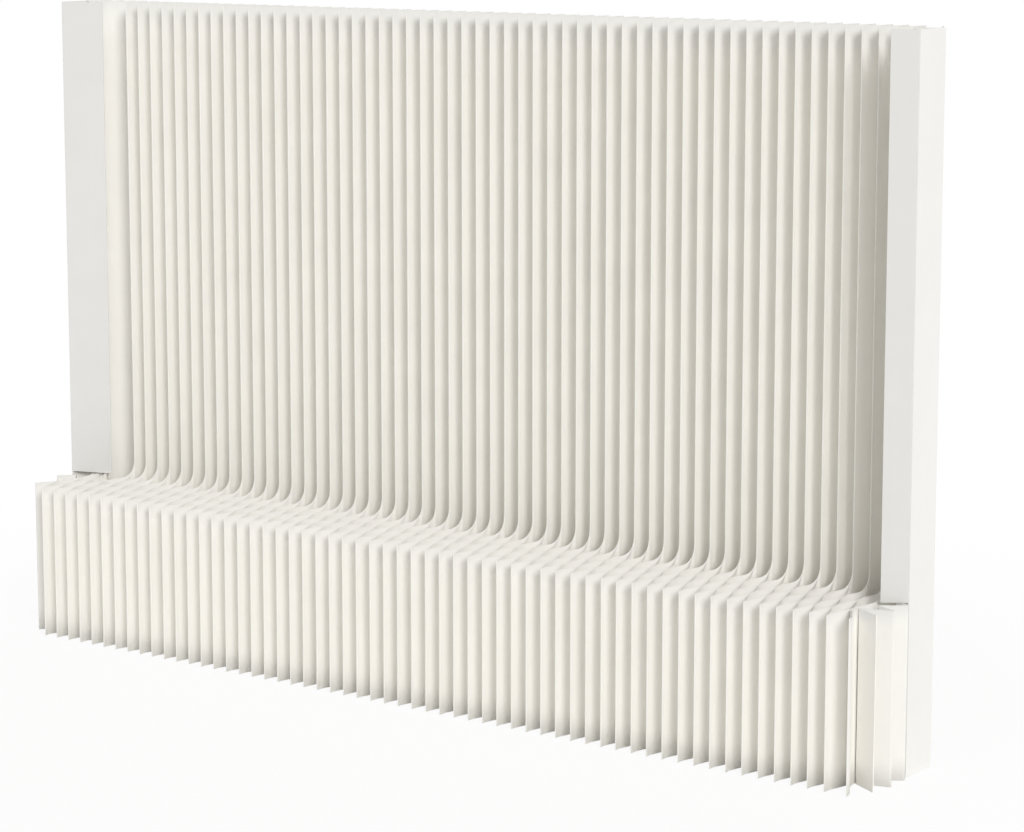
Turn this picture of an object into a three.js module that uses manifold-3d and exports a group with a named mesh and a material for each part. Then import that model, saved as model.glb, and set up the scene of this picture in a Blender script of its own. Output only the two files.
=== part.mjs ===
// Expandable paper screen with a bench step: L-shaped paper leaves glued face to face into a honeycomb.
// Units are millimetres, +Z is up, the front is -Y, and the screen pulls out along X.
// Every leaf stands in its own YZ plane and zigzags in plan from one row of glue lines to the next.
import * as THREE from "three";
import { mergeVertices } from "three/addons/utils/BufferGeometryUtils.js";
import Module from "manifold-3d";

const wasm = await Module();
wasm.setup();

// Driving dimensions
const HEIGHT = 2000;
const DEPTH = 430;
const WALL_DEPTH = 130;
const BENCH_HEIGHT = 480;
const CORNER_RADIUS = 50;
const CORNER_STEPS = 4;
const PITCH = 49.4;
const RIBS = 58;
const RIBS_PER_BLOCK = 2;
const ROW_STEP = 100;
const PAPER = 1;
const GLUE_WIDTH = 8;
const GLUE_OVERLAP = 0.2;
const BLOCK_GAP = 0.4;
const CARD = 3;
const BOARD = 4;
const FLAP = 3;

// Rows of glue lines, as distances along Y from the back face: four regular rows, then the back edge
const ROWS = [-DEPTH, -DEPTH + ROW_STEP, -DEPTH + 2 * ROW_STEP, -WALL_DEPTH, 0];
const HALF = PITCH / 2;
const PAIR_SHIFT = PAPER / 2 - GLUE_OVERLAP / 2;
const EDGE_SHIFT = PAPER / 2 + BLOCK_GAP / 2;

// The last rib is narrow: its ridge sits further out at the front, and its last leaf hangs almost straight
const LAST_RIDGE = (RIBS - 1) * PITCH;
const LAST_RIDGE_FRONT_SHIFT = 16;
const LAST_LEAF_SECOND_ROW = LAST_RIDGE - 14.8;

// How far the first glue lines of the wall's front are drawn to the left, behind the left flap
const WALL_FRONT_ROW = 3;
const DRAWN_LEFT = [0, 22, 50];

// The end leaves' middle plane where they are glued to the first and the last paper leaf
const END_GLUE = PAPER / 2 + CARD / 2 - 0.4;
const LEFT_GLUE = -HALF - END_GLUE;
const RIGHT_GLUE = LAST_RIDGE + HALF + END_GLUE;

// The distance along Y of a fold that lies a share of the way from one row to the next
function between(row, share) {
  return ROWS[row] + share * (ROWS[row + 1] - ROWS[row]);
}

// Folds of the two heavier end leaves, [x from the first or the last ridge, y from the back face]
const LEFT_FOLDS = [
  [-67, between(0, 0.42)],
  [LEFT_GLUE, ROWS[1]],
  [-85, between(1, 0.65)],
  [-40, ROWS[2]],
  [-77.4, between(2, 0.45)],
  [LEFT_GLUE, ROWS[3]],
  [-79, between(3, 0.35)],
  [-50, ROWS[4]],
];
const RIGHT_FOLDS = [
  [62.2, between(0, 0.69)],
  [LAST_LEAF_SECOND_ROW - LAST_RIDGE + 3.6, between(1, 0.11)],
  [84.2, between(1, 0.36)],
  [20.2, between(1, 0.64)],
  [88.2, between(2, 0.06)],
  [36.2, between(2, 0.36)],
  [70.2, between(2, 0.61)],
  [RIGHT_GLUE - LAST_RIDGE, between(2, 0.98)],
  [87.2, between(3, 0.31)],
  [49.2, ROWS[4]],
].map(([x, y]) => [LAST_RIDGE + x, y]);

// End boards, as their front and back edges, and the flaps on their front edges. The left flap clears the
// bench by more, because its free edge hangs over the rounded inner corner
const LEFT_BOARD = { front: [-81, -199], back: [-83, -77] };
const RIGHT_BOARD = { front: [LAST_RIDGE + 77.2, -202], back: [LAST_RIDGE + 92.2, -80] };
const LEFT_FLAP = { board: LEFT_BOARD, hingeShift: 2, angle: 17, reach: 138, clearance: 4 };
const RIGHT_FLAP = { board: RIGHT_BOARD, hingeShift: -0.9, angle: 211.7, reach: 73, clearance: 1.5 };
const HINGE_STANDOFF = 1.7;
const HINGE_CLEARANCE = 0.3;

// The whole screen is centred on its own footprint
const CENTRE_X = (LEFT_FOLDS[2][0] - CARD / 2 + RIGHT_BOARD.back[0] + BOARD / 2) / 2;
const CENTRE_Y = -DEPTH / 2;

const PAPER_COLOUR = 0xf3f0e8;
const CARD_COLOUR = 0xeeebe3;
const BOARD_COLOUR = 0xe3e2de;

// A closed prism from a plan or profile outline, standing along +Z
function prism(outline, height) {
  const shape = new THREE.Shape(outline.map(([u, v]) => new THREE.Vector2(u, v)));
  return new THREE.ExtrudeGeometry(shape, { depth: height, bevelEnabled: false });
}

// The L profile that every leaf is cut to, as a prism from x = from to x = to
function profile(from, to) {
  const outline = [
    [-DEPTH, 0],
    [0, 0],
    [0, HEIGHT],
    [-WALL_DEPTH, HEIGHT],
  ];
  for (let i = 0; i <= CORNER_STEPS; i++) {
    const a = (Math.PI / 2) * (i / CORNER_STEPS);
    outline.push([
      -WALL_DEPTH - CORNER_RADIUS + CORNER_RADIUS * Math.cos(a),
      BENCH_HEIGHT + CORNER_RADIUS - CORNER_RADIUS * Math.sin(a),
    ]);
  }
  outline.push([-DEPTH, BENCH_HEIGHT]);
  const turn = new THREE.Matrix4().makeBasis(
    new THREE.Vector3(0, 1, 0),
    new THREE.Vector3(0, 0, 1),
    new THREE.Vector3(1, 0, 0),
  );
  return prism(outline, to - from).applyMatrix4(turn).translate(from, 0, 0);
}

// The outline of a sheet seen from above: a zigzag line given its width along x
function sheetOutline(line, width) {
  const right = line.map(([x, y]) => [x + width / 2, y]);
  const left = line.map(([x, y]) => [x - width / 2, y]).reverse();
  return [...right, ...left];
}

// A zigzag with a short straight run at each glue line, so that glued faces lie flat on each other
function flattened(line) {
  const out = [];
  line.forEach(([x, y], i) => {
    if (i > 0) out.push([x, y - GLUE_WIDTH / 2]);
    else out.push([x, y]);
    if (i < line.length - 1) out.push([x, y + GLUE_WIDTH / 2]);
    else out.push([x, y]);
  });
  return out;
}

// Leaf number n: even leaves lie left of their ridge, odd leaves right of it
function leafLine(n) {
  const rib = Math.floor(n / 2);
  const ridge = rib * PITCH;
  const side = n % 2 === 0 ? -1 : 1;
  const inBlock = n % (2 * RIBS_PER_BLOCK);
  const outer = inBlock === 0 || inBlock === 2 * RIBS_PER_BLOCK - 1;
  const drawnLeft = DRAWN_LEFT[Math.floor((n + 1) / 2)] ?? 0;
  return ROWS.map((y, row) => {
    const ahead = row === 0 && rib === RIBS - 1 ? LAST_RIDGE_FRONT_SHIFT : 0;
    if (row % 2 === 0) return [ridge + ahead + side * PAIR_SHIFT, y];
    if (n === 2 * RIBS - 1 && row === 1) return [LAST_LEAF_SECOND_ROW, y];
    const drawn = row === WALL_FRONT_ROW ? drawnLeft : 0;
    return [ridge - drawn + side * (HALF - (outer ? EDGE_SHIFT : PAIR_SHIFT)), y];
  });
}

// A three.js geometry as a solid that can be joined and cut, and back again
function solidOf(geometry) {
  const bare = new THREE.BufferGeometry();
  bare.setAttribute("position", geometry.getAttribute("position"));
  if (geometry.index) bare.setIndex(geometry.index);
  const merged = mergeVertices(bare);
  const mesh = new wasm.Mesh({
    numProp: 3,
    vertProperties: merged.attributes.position.array,
    triVerts: new Uint32Array(merged.index.array),
  });
  return new wasm.Manifold(mesh);
}

function geometryOf(solid) {
  const mesh = solid.getMesh();
  const geometry = new THREE.BufferGeometry();
  geometry.setAttribute("position", new THREE.BufferAttribute(mesh.vertProperties, mesh.numProp));
  geometry.setIndex(new THREE.BufferAttribute(mesh.triVerts, 1));
  geometry.computeVertexNormals();
  return geometry;
}

const group = new THREE.Group();
group.name = "pleated_paper_screen";
group.position.set(-CENTRE_X, -CENTRE_Y, 0);

function add(name, geometry, color, parent = group) {
  const material = new THREE.MeshStandardMaterial({ color, roughness: 0.9, metalness: 0 });
  const mesh = new THREE.Mesh(geometry, material);
  mesh.name = name;
  parent.add(mesh);
  return mesh;
}

// Leaf blocks: each is four leaves, glued in pairs at alternate rows
const leavesPerBlock = 2 * RIBS_PER_BLOCK;
for (let block = 0; block < RIBS / RIBS_PER_BLOCK; block++) {
  const from = (block * RIBS_PER_BLOCK - 1) * PITCH;
  const to = (block + 1) * RIBS_PER_BLOCK * PITCH;
  let leaves = null;
  for (let i = 0; i < leavesPerBlock; i++) {
    const line = flattened(leafLine(block * leavesPerBlock + i));
    const leaf = solidOf(prism(sheetOutline(line, PAPER), HEIGHT));
    leaves = leaves ? leaves.add(leaf) : leaf;
  }
  const name = "leaf_block_" + String(block + 1).padStart(2, "0");
  add(name, geometryOf(leaves.intersect(solidOf(profile(from, to)))), PAPER_COLOUR);
}

// End leaves: heavier card, folded deeper, cut to the same L profile
function endLeaf(name, folds) {
  const xs = folds.map(([x]) => x);
  const cut = solidOf(profile(Math.min(...xs) - CARD, Math.max(...xs) + CARD));
  const whole = solidOf(prism(sheetOutline(folds, CARD), HEIGHT));
  add(name, geometryOf(whole.intersect(cut)), CARD_COLOUR);
}
endLeaf("left_end_leaf", LEFT_FOLDS);
endLeaf("right_end_leaf", RIGHT_FOLDS);

// End boards: flat strips that stand on the floor and reach the top
function board(name, { front, back }) {
  add(name, prism(sheetOutline([front, back], BOARD), HEIGHT), BOARD_COLOUR);
}
board("left_end_board", LEFT_BOARD);
board("right_end_board", RIGHT_BOARD);

// Flaps: flat strips above the bench, each hinged on the front edge of its end board
function flap(name, { board: { front }, hingeShift, angle, reach, clearance }) {
  const wide = reach - HINGE_CLEARANCE;
  const bottom = BENCH_HEIGHT + clearance;
  const tall = HEIGHT - bottom;
  const hinge = new THREE.Group();
  hinge.position.set(front[0] + hingeShift, front[1] - HINGE_STANDOFF, 0);
  hinge.rotation.z = THREE.MathUtils.degToRad(angle);
  group.add(hinge);
  const strip = add(name, new THREE.BoxGeometry(wide, FLAP, tall), BOARD_COLOUR, hinge);
  strip.position.set(HINGE_CLEARANCE + wide / 2, 0, bottom + tall / 2);
}
flap("left_end_flap", LEFT_FLAP);
flap("right_end_flap", RIGHT_FLAP);

export default group;
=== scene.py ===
"""Expandable paper screen with a bench step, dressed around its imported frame.

All lengths are metres in the frame's own axes: +X runs along the pull, -Y is the front, +Z is up.
Every paper leaf is one thin closed sheet, worked out on a grid of depth by height.
"""

import math

import bpy
import numpy as np
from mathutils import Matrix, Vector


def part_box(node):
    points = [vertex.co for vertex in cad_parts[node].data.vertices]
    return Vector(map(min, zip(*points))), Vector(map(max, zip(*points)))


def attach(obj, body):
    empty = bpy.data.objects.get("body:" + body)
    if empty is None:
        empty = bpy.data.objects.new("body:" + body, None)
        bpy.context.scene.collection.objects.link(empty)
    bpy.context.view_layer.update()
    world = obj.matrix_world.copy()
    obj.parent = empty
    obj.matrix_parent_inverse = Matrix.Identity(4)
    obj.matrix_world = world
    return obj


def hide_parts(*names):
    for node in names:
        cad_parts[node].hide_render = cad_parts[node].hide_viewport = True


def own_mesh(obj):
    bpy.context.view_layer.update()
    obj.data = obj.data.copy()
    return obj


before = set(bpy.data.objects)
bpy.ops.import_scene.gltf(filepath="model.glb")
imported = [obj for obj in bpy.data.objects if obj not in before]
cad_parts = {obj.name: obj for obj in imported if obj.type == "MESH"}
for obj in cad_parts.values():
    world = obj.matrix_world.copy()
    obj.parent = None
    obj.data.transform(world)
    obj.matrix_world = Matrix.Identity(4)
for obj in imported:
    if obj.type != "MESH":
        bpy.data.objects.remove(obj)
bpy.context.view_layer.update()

# ---------------------------------------------------------------------------------------------
# Sizes from the frame
# ---------------------------------------------------------------------------------------------
BLOCKS = sorted(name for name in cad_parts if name.startswith("leaf_block_"))
RIBS_PER_BLOCK = 2
LEAVES_PER_BLOCK = 2 * RIBS_PER_BLOCK
RIBS = RIBS_PER_BLOCK * len(BLOCKS)
FIRST_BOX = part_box(BLOCKS[0])
LAST_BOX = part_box(BLOCKS[-1])
FRONT_Y = FIRST_BOX[0].y
BACK_Y = FIRST_BOX[1].y
TOP_Z = FIRST_BOX[1].z
PITCH = (LAST_BOX[0].x - FIRST_BOX[0].x) / (RIBS - RIBS_PER_BLOCK)
HALF = PITCH / 2
FRAME_EDGE_SHIFT = 0.0007  # a block's outer leaves lie this far inside their glue line
FRAME_SHEET_HALF = 0.0005  # half the thickness of the frame's paper leaves
FIRST_RIDGE = FIRST_BOX[0].x + HALF - FRAME_EDGE_SHIFT + FRAME_SHEET_HALF

# The L outline of every leaf, and the rows of glue lines in depth
BENCH_TOP = 0.48
CORNER_RADIUS = 0.05
WALL_DEPTH = 0.13
WALL_Y = BACK_Y - WALL_DEPTH
ROW_STEP = 0.1
ROWS = np.array([FRONT_Y, FRONT_Y + ROW_STEP, FRONT_Y + 2 * ROW_STEP, WALL_Y, BACK_Y])

# ---------------------------------------------------------------------------------------------
# Sizes of the paper
# ---------------------------------------------------------------------------------------------
PAPER = 0.0008
BLOCK_GAP = 0.0001
GLUE_WIDTH = 0.009
LINE_WANDER = 0.0007  # the most that a glue line strays sideways
LINE_SEED = 11
BLOCK_SEED = 100

# A sheet sways between its glue lines on two waves up its height, in radians a metre
SPAN_SWAY = 0.0012
LEAST_SWAY = 0.3  # each wave's least share of the sway
LONG_WAVE = 4.1
SHORT_WAVE = 9.7

# The grids: levels in height of the bench and wall parts, then columns in depth
BENCH_LEVELS = 8
WALL_LEVELS = 13
PAPER_STEP = 0.005
PAPER_CORNER_COLUMNS = 12
CARD_STEP = 0.0015
CARD_CORNER_COLUMNS = 34

# The last rib is narrow: its ridge sits further out, and its last leaf hangs almost straight
LAST_RIDGE_FRONT_SHIFT = 0.016
LAST_LEAF_SECOND_ROW = -0.0148

# How far the first glue lines of the wall's front are drawn to the left, behind the left flap
WALL_FRONT_ROW = 3
DRAWN_LEFT = (0, 0.022, 0.050)

# The two end leaves are heavier. Their folds are x from the first ridge and y from the back face
CARD_SHEET = 0.0024
CARD_BOW = 0.6  # the most that an end leaf sways, as a share of a paper leaf's sway
FOLD_ROUNDING = 0.0025
FOLD_SAMPLES = 9
LAST_RIDGE = (RIBS - 1) * PITCH
LEFT_FOLDS = (
    (-0.067, -0.388),
    (-0.0263, -0.330),
    (-0.085, -0.265),
    (-0.040, -0.230),
    (-0.0774, -0.185),
    (-0.0263, -0.130),
    (-0.079, -0.0845),
    (-0.050, 0),
)
RIGHT_FOLDS = (
    (LAST_RIDGE + 0.0622, -0.361),
    (LAST_RIDGE - 0.0125, -0.319),
    (LAST_RIDGE + 0.0842, -0.294),
    (LAST_RIDGE + 0.0202, -0.266),
    (LAST_RIDGE + 0.0882, -0.224),
    (LAST_RIDGE + 0.0362, -0.194),
    (LAST_RIDGE + 0.0702, -0.169),
    (LAST_RIDGE + 0.0263, -0.132),
    (LAST_RIDGE + 0.0872, -0.0897),
    (LAST_RIDGE + 0.0492, 0),
)
LEFT_SEED = 301
RIGHT_SEED = 302


# ---------------------------------------------------------------------------------------------
# Meshes
# ---------------------------------------------------------------------------------------------
def mesh_object(name, points, quads, is_rim, materials):
    """A piece from whole arrays: points (n, 3), quads (m, 4), and a flag for each quad that lies on
    a cut rim. Faces are smooth and have the first material; rims are flat and have the second."""
    mesh = bpy.data.meshes.new(name)
    mesh.vertices.add(len(points))
    mesh.vertices.foreach_set("co", points.astype(np.float32).ravel())
    mesh.loops.add(quads.size)
    mesh.loops.foreach_set("vertex_index", quads.astype(np.int32).ravel())
    mesh.polygons.add(len(quads))
    mesh.polygons.foreach_set("loop_start", np.arange(0, quads.size, 4, dtype=np.int32))
    mesh.polygons.foreach_set("material_index", is_rim.astype(np.int32))
    mesh.polygons.foreach_set("use_smooth", ~is_rim)
    for material in materials:
        mesh.materials.append(material)
    mesh.update(calc_edges=True)
    mesh.validate()
    piece = bpy.data.objects.new(name, mesh)
    bpy.context.scene.collection.objects.link(piece)
    return piece


def grid_quads(index):
    """Quads between neighbouring rows and columns of a grid of vertex numbers."""
    corners = [index[:-1, :-1], index[:-1, 1:], index[1:, 1:], index[1:, :-1]]
    return np.stack(corners, axis=-1).reshape(-1, 4)


def sheet_columns(front, step, corner_columns):
    """Depths of the columns of a sheet that starts at `front`, and the number of the column at the
    wall's front: even steps, but closer at the rounded inner corner, where they follow the
    corner's arc by equal angles."""
    corner_start = WALL_Y - CORNER_RADIUS
    bench = np.arange(front, corner_start - step / 2, step)
    arc = corner_start + CORNER_RADIUS * np.sin(np.linspace(0, math.pi / 2, corner_columns))
    wall = np.linspace(WALL_Y, BACK_Y, round(WALL_DEPTH / step) + 1)[1:]
    return np.concatenate([bench, arc, wall]), len(bench) + len(arc) - 1


COLUMNS, WALL_COLUMN = sheet_columns(FRONT_Y, PAPER_STEP, PAPER_CORNER_COLUMNS)


def lower_top(y):
    """Height of the bench part of the leaf outline: level, then up the quarter round of the
    inner corner, then level under the wall part."""
    along = np.clip(y - (WALL_Y - CORNER_RADIUS), 0, CORNER_RADIUS)
    rise = CORNER_RADIUS - np.sqrt(CORNER_RADIUS**2 - along**2)
    return BENCH_TOP + rise


def glue_line_wander():
    """Small sideways error of each glue line, one number for each row and each line in it."""
    chance = np.random.default_rng(LINE_SEED)
    error = chance.normal(0, LINE_WANDER / 2, (len(ROWS), RIBS + 2))
    return error.clip(-LINE_WANDER, LINE_WANDER)


WANDER = glue_line_wander()


def ridge_x(rib):
    """Place of a rib's front ridge: the first ridge plus whole pitches."""
    return FIRST_RIDGE + rib * PITCH


def glued_x(number, row):
    """Place of a leaf's middle at a row: half its thickness to its own side of its rib's ridge at
    the even rows, and half a pitch from the ridge, less half its thickness, at the odd rows."""
    rib = number // 2
    side = (number % 2) * 2 - 1
    if row % 2 == 0:
        ahead = LAST_RIDGE_FRONT_SHIFT if row == 0 and rib == RIBS - 1 else 0
        return ridge_x(rib) + ahead + side * PAPER / 2 + WANDER[row, rib]
    if row == 1 and number == 2 * RIBS - 1:
        return ridge_x(rib) + LAST_LEAF_SECOND_ROW
    line = (number + 1) // 2
    outer = number % LEAVES_PER_BLOCK in (0, LEAVES_PER_BLOCK - 1)
    inset = PAPER / 2 + (BLOCK_GAP / 2 if outer else 0)
    drawn = DRAWN_LEFT[line] if row == WALL_FRONT_ROW and line < len(DRAWN_LEFT) else 0
    return ridge_x(rib) - drawn + side * (HALF - inset) + WANDER[row, line]


def leaf_line(number):
    """Plan line of a leaf, x at each column: it lies flat along a glue strip at every row and
    crosses to the next row's glue line on a smooth S (three squares less two cubes). With it
    goes how near each column is to the middle of its crossing, 1 there and 0 at both ends."""
    at_rows = np.array([glued_x(number, row) for row in range(len(ROWS))])
    interval = np.clip(np.searchsorted(ROWS, COLUMNS, side="right") - 1, 0, len(ROWS) - 2)
    start = ROWS[interval]
    end = ROWS[interval + 1]
    run = (COLUMNS - start - GLUE_WIDTH / 2) / (end - start - GLUE_WIDTH)
    run = np.clip(run, 0, 1)
    ease = run * run * (3 - 2 * run)
    line = at_rows[interval] * (1 - ease) + at_rows[interval + 1] * ease
    return line, 4 * run * (1 - run)


def standing_sheet(line, middle, columns, wall_column, thickness, chance):
    """A closed sheet: a plan line carried up to the L outline's height, swaying sideways by two
    sines of the height times `middle`, moved half the thickness to each side, and joined
    round the rim."""
    slope = np.gradient(line, columns)
    across = np.stack([np.ones_like(slope), -slope, np.zeros_like(slope)], axis=-1)
    across /= np.linalg.norm(across, axis=-1, keepdims=True)

    low_share = np.linspace(0, 1, BENCH_LEVELS)[:, None]
    low_z = low_share * lower_top(columns)[None, :]
    wall = slice(wall_column, None)
    wall_base = lower_top(columns[wall])
    high_share = np.linspace(0, 1, WALL_LEVELS)[1:, None]
    high_z = wall_base + high_share * (TOP_Z - wall_base)

    phase = chance.uniform(0, 2 * math.pi, 3)  # the third is spare
    size = chance.uniform(LEAST_SWAY, 1, 2) * SPAN_SWAY

    def points(z, part):
        long_wave = size[0] * np.sin(z * LONG_WAVE + phase[0])
        short_wave = size[1] * np.sin(z * SHORT_WAVE + phase[1])
        x = line[part] + (long_wave + short_wave) * middle[part]
        y = np.broadcast_to(columns[part], z.shape)
        return np.stack([x, y, z], axis=-1)

    low = points(low_z, slice(None))
    high = points(high_z, wall)
    low_index = np.arange(low_z.size).reshape(low_z.shape)
    high_index = (low_z.size + np.arange(high_z.size)).reshape(high_z.shape)
    high_index = np.concatenate([low_index[-1:, wall_column:], high_index])
    middle_points = np.concatenate([low.reshape(-1, 3), high.reshape(-1, 3)])
    low_across = np.broadcast_to(across, low.shape).reshape(-1, 3)
    high_across = np.broadcast_to(across[wall], high.shape).reshape(-1, 3)
    outwards = np.concatenate([low_across, high_across]) * thickness / 2
    both_sides = np.concatenate([middle_points + outwards, middle_points - outwards])

    # The rim's vertices in turn: floor, back, top, the wall's front, the bench's top and front
    rim = np.concatenate(
        [
            low_index[0, :],
            low_index[1:, -1],
            high_index[1:, -1],
            high_index[-1, -2::-1],
            high_index[-2::-1, 0],
            low_index[-1, wall_column - 1 :: -1],
            low_index[-2:0:-1, 0],
        ]
    )
    following = np.roll(rim, -1)
    count = len(middle_points)
    rim_quads = np.stack([rim + count, following + count, following, rim], axis=-1)
    face = np.concatenate([grid_quads(low_index), grid_quads(high_index)])
    quads = np.concatenate([face, face[:, ::-1] + count, rim_quads])
    is_rim = np.arange(len(quads)) >= 2 * len(face)
    return both_sides, quads, is_rim


def leaf_block(name, block, materials):
    """A block of neighbouring leaves: their sheets' arrays put one after another."""
    chance = np.random.default_rng(BLOCK_SEED + block)
    points = []
    quads = []
    rims = []
    count = 0
    for i in range(LEAVES_PER_BLOCK):
        line, middle = leaf_line(LEAVES_PER_BLOCK * block + i)
        sheet = standing_sheet(line, middle, COLUMNS, WALL_COLUMN, PAPER, chance)
        points.append(sheet[0])
        quads.append(sheet[1] + count)
        rims.append(sheet[2])
        count += len(sheet[0])
    arrays = [np.concatenate(parts) for parts in (points, quads, rims)]
    return mesh_object(name, *arrays, materials)


def end_leaf(name, folds, seed, materials):
    """A heavier end leaf: straight runs from fold to fold, with every fold rounded by taking the
    mean of the run over a short stretch of depth. Its sway comes and goes with depth, on a
    sine's size that is nought at every whole row step from the back face."""
    fold_x, fold_y = np.array(folds).T
    front = BACK_Y + fold_y[0]
    columns, wall_column = sheet_columns(front, CARD_STEP, CARD_CORNER_COLUMNS)
    stretch = np.linspace(-FOLD_ROUNDING, FOLD_ROUNDING, FOLD_SAMPLES)
    runs = [np.interp(columns + part, BACK_Y + fold_y, FIRST_RIDGE + fold_x) for part in stretch]
    line = np.mean(runs, axis=0)
    bow = CARD_BOW * np.abs(np.sin((columns - BACK_Y) * math.pi / ROW_STEP))
    chance = np.random.default_rng(seed)
    arrays = standing_sheet(line, bow, columns, wall_column, CARD_SHEET, chance)
    return mesh_object(name, *arrays, materials)


# ---------------------------------------------------------------------------------------------
# Materials
# ---------------------------------------------------------------------------------------------
SPECULAR = 0.25
CLOUD_SCALE = 9
CLOUD_DETAIL = 3
CLOUD_LOW = 0.3
CLOUD_HIGH = 0.7
FIBRE_STRETCH = (1, 1, 0.35)
FIBRE_DETAIL = 4
FIBRE_HEIGHT = 0.0004


def noise_node(nodes, scale, detail):
    """Cloudy noise of a given scale and detail."""
    noise = nodes.new("ShaderNodeTexNoise")
    noise.inputs["Scale"].default_value = scale
    noise.inputs["Detail"].default_value = detail
    return noise


def paper_material(name, colour, mottle, roughness, fibre_scale, bump):
    """Matte paper: its colour drifts by the share `mottle` with cloudy noise, and fine fibres,
    drawn out along the height, lift it."""
    material = bpy.data.materials.new(name)
    material.use_nodes = True
    nodes = material.node_tree.nodes
    links = material.node_tree.links
    shader = nodes["Principled BSDF"]
    shader.inputs["Roughness"].default_value = roughness
    shader.inputs["Specular IOR Level"].default_value = SPECULAR
    where = nodes.new("ShaderNodeTexCoord")
    cloud = noise_node(nodes, CLOUD_SCALE, CLOUD_DETAIL)
    links.new(where.outputs["Object"], cloud.inputs["Vector"])
    ramp = nodes.new("ShaderNodeValToRGB")
    ramp.color_ramp.elements[0].position = CLOUD_LOW
    ramp.color_ramp.elements[1].position = CLOUD_HIGH
    ramp.color_ramp.elements[0].color = (*[c * (1 - mottle) for c in colour], 1)
    ramp.color_ramp.elements[1].color = (*[min(1, c * (1 + mottle)) for c in colour], 1)
    links.new(cloud.outputs["Fac"], ramp.inputs["Fac"])
    links.new(ramp.outputs["Color"], shader.inputs["Base Color"])
    stretch = nodes.new("ShaderNodeMapping")
    stretch.inputs["Scale"].default_value = FIBRE_STRETCH
    links.new(where.outputs["Object"], stretch.inputs["Vector"])
    fibre = noise_node(nodes, fibre_scale, FIBRE_DETAIL)
    links.new(stretch.outputs["Vector"], fibre.inputs["Vector"])
    relief = nodes.new("ShaderNodeBump")
    relief.inputs["Strength"].default_value = bump
    relief.inputs["Distance"].default_value = FIBRE_HEIGHT
    links.new(fibre.outputs["Fac"], relief.inputs["Height"])
    links.new(relief.outputs["Normal"], shader.inputs["Normal"])
    return material


# Each with its name, colour, mottle, roughness, fibre scale and bump
LEAF_FACE = paper_material("leaf_paper", (0.93, 0.917, 0.882), 0.012, 0.9, 900, 0.25)
LEAF_EDGE = paper_material("leaf_cut_edge", (0.94, 0.93, 0.895), 0.01, 0.95, 1600, 0.2)
CARD_FACE = paper_material("end_card", (0.905, 0.893, 0.86), 0.01, 0.8, 700, 0.2)
CARD_EDGE = paper_material("end_card_cut_edge", (0.93, 0.915, 0.875), 0.01, 0.9, 1600, 0.2)
END_BOARD = paper_material("end_board", (0.90, 0.893, 0.87), 0.01, 0.75, 600, 0.15)
LEFT_FLAP = paper_material("left_flap_board", (0.80, 0.795, 0.775), 0.01, 0.75, 600, 0.15)
# The right flap is the left flap's grey card painted darker: painted shade that evens out the extra
# sun falling on it
RIGHT_FLAP_PAINTED_SHADE = paper_material("right_flap_board_painted_shade", (0.75, 0.745, 0.725), 0.01, 0.75, 600, 0.15)


# ---------------------------------------------------------------------------------------------
# The screen
# ---------------------------------------------------------------------------------------------
for block, node in enumerate(BLOCKS):
    piece = leaf_block("leaves_" + node[-2:], block, [LEAF_FACE, LEAF_EDGE])
    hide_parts(node)
    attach(piece, node)
    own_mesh(piece)

for side, folds, seed in (("left", LEFT_FOLDS, LEFT_SEED), ("right", RIGHT_FOLDS, RIGHT_SEED)):
    piece = end_leaf(side + "_folded_leaf", folds, seed, [CARD_FACE, CARD_EDGE])
    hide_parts(side + "_end_leaf")
    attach(piece, side + "_end")

for node, material in (
    ("left_end_board", END_BOARD),
    ("right_end_board", END_BOARD),
    ("left_end_flap", LEFT_FLAP),
    ("right_end_flap", RIGHT_FLAP_PAINTED_SHADE),
):
    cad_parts[node].data.materials.clear()
    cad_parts[node].data.materials.append(material)


# ---------------------------------------------------------------------------------------------
# Floor, light and camera
# ---------------------------------------------------------------------------------------------
WHITE = (1, 1, 1, 1)
FLOOR_COLOUR = (0.95, 0.95, 0.945, 1)
FLOOR_REACH = 40.0
FLOOR_CELLS = 8
FLOOR_Z = -0.0005
FADE_START = 1.2
FADE_END = 3.0
WHITE_SHARE_NEAR = 0.9
WHITE_SHARE_FAR = 1.0

SKY_STRENGTH = 0.612
SUN_TOWARDS = (0.80, -0.60, 0.52)
SUN_STRENGTH = 1.32
SUN_SPREAD = 24  # degrees
SUN_COLOUR = (1.0, 0.99, 0.97)

SENSOR_MM = 36
LENS_MM = 96.93
LENS_SHIFT = -0.1504
SIGHT_END = 200
CAMERA_PLACE = (4.5355, -6.5108, 2.3792)
CAMERA_DOWN = 7.8684  # degrees below level
CAMERA_TURN = 33.4909  # degrees from straight on, towards the left


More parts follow.
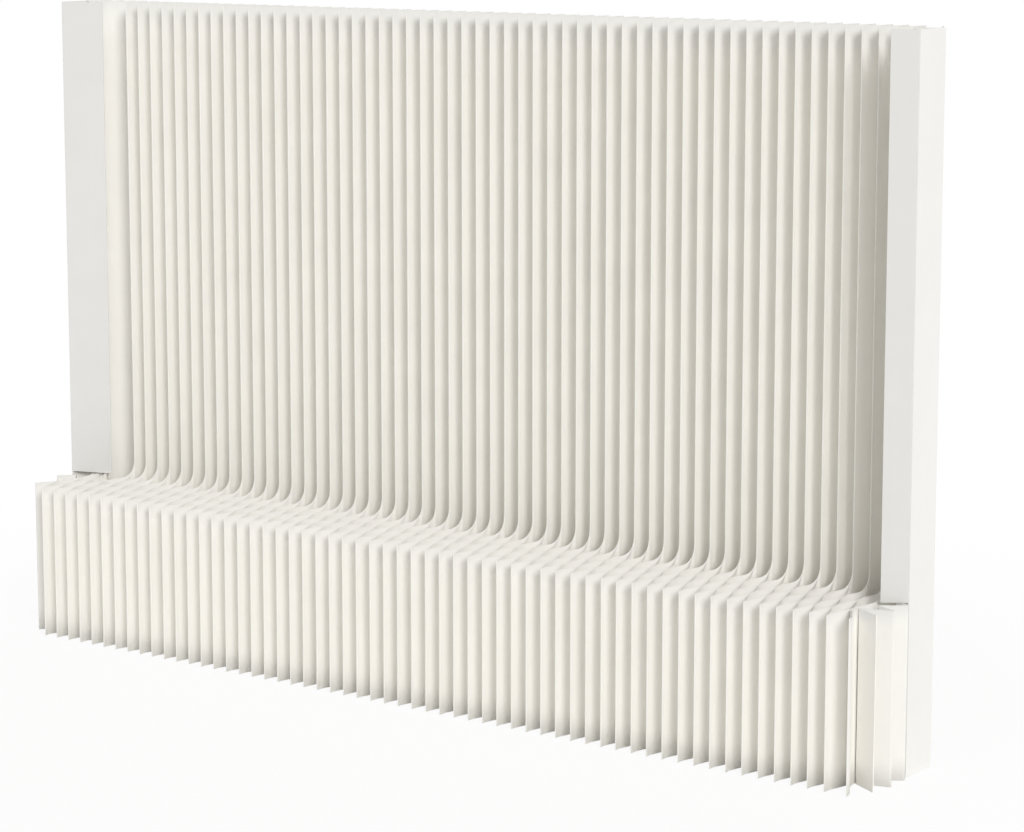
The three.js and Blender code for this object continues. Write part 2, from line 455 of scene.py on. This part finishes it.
def white_floor():
    """A wide level floor. Seen directly it is mostly plain white, with a share of its lit colour,
    so the screen keeps its shadow there. That share fades out with the distance from the
    screen, so no edge or horizon shows."""
    side = np.linspace(-FLOOR_REACH, FLOOR_REACH, FLOOR_CELLS + 1)
    x, y = np.meshgrid(side, side)
    points = np.stack([x, y, np.full_like(x, FLOOR_Z)], axis=-1).reshape(-1, 3)
    quads = grid_quads(np.arange(len(points)).reshape(x.shape))
    material = bpy.data.materials.new("white_floor")
    material.use_nodes = True
    nodes = material.node_tree.nodes
    links = material.node_tree.links
    nodes.clear()
    out = nodes.new("ShaderNodeOutputMaterial")
    lit = nodes.new("ShaderNodeBsdfDiffuse")
    lit.inputs["Color"].default_value = FLOOR_COLOUR
    white = nodes.new("ShaderNodeEmission")
    white.inputs["Strength"].default_value = 1
    seen = nodes.new("ShaderNodeLightPath")
    where = nodes.new("ShaderNodeTexCoord")
    distance = nodes.new("ShaderNodeVectorMath")
    distance.operation = "LENGTH"
    links.new(where.outputs["Object"], distance.inputs[0])
    fade = nodes.new("ShaderNodeMapRange")
    fade.interpolation_type = "SMOOTHSTEP"
    fade.inputs["From Min"].default_value = FADE_START
    fade.inputs["From Max"].default_value = FADE_END
    fade.inputs["To Min"].default_value = WHITE_SHARE_NEAR
    fade.inputs["To Max"].default_value = WHITE_SHARE_FAR
    links.new(distance.outputs["Value"], fade.inputs["Value"])
    share = nodes.new("ShaderNodeMath")
    share.operation = "MULTIPLY"
    links.new(seen.outputs["Is Camera Ray"], share.inputs[0])
    links.new(fade.outputs["Result"], share.inputs[1])
    mix = nodes.new("ShaderNodeMixShader")
    links.new(share.outputs[0], mix.inputs["Fac"])
    links.new(lit.outputs[0], mix.inputs[1])
    links.new(white.outputs[0], mix.inputs[2])
    links.new(mix.outputs[0], out.inputs["Surface"])
    floor = mesh_object("floor", points, quads, np.zeros(len(quads), bool), [material])


def world_light():
    """An even pale sky. Seen directly it is plain white."""
    world = bpy.data.worlds.new("studio")
    bpy.context.scene.world = world
    world.use_nodes = True
    nodes = world.node_tree.nodes
    links = world.node_tree.links
    nodes.clear()
    out = nodes.new("ShaderNodeOutputWorld")
    sky = nodes.new("ShaderNodeBackground")
    sky.inputs["Color"].default_value = WHITE
    sky.inputs["Strength"].default_value = SKY_STRENGTH
    white = nodes.new("ShaderNodeBackground")
    white.inputs["Color"].default_value = WHITE
    white.inputs["Strength"].default_value = 1
    seen = nodes.new("ShaderNodeLightPath")
    mix = nodes.new("ShaderNodeMixShader")
    links.new(seen.outputs["Is Camera Ray"], mix.inputs["Fac"])
    links.new(sky.outputs[0], mix.inputs[1])
    links.new(white.outputs[0], mix.inputs[2])
    links.new(mix.outputs[0], out.inputs["Surface"])


def soft_sun():
    """A soft sun that shines from the right of the front."""
    lamp = bpy.data.lights.new("key", "SUN")
    lamp.energy = SUN_STRENGTH
    lamp.angle = math.radians(SUN_SPREAD)
    lamp.color = SUN_COLOUR
    key = bpy.data.objects.new("key", lamp)
    bpy.context.scene.collection.objects.link(key)
    x, y, z = SUN_TOWARDS
    tilt = math.atan2(math.hypot(x, y), z)
    turn = math.atan2(y, x)
    key.rotation_euler = (0, tilt, turn)


def photo_camera():
    """The photographed view: a long lens, from the right of the front, above the bench."""
    lens = bpy.data.cameras.new("camera")
    lens.sensor_width = SENSOR_MM
    lens.lens = LENS_MM
    lens.shift_y = LENS_SHIFT
    lens.clip_end = SIGHT_END
    camera = bpy.data.objects.new("camera", lens)
    camera.location = CAMERA_PLACE
    camera.rotation_euler = (math.radians(90 - CAMERA_DOWN), 0, math.radians(CAMERA_TURN))
    bpy.context.scene.collection.objects.link(camera)
    bpy.context.scene.camera = camera


white_floor()
world_light()
soft_sun()
photo_camera()
bpy.context.scene.view_settings.view_transform = "Standard"
bpy.context.scene.cycles.diffuse_bounces = 10  # light finds its way out of deep white cells
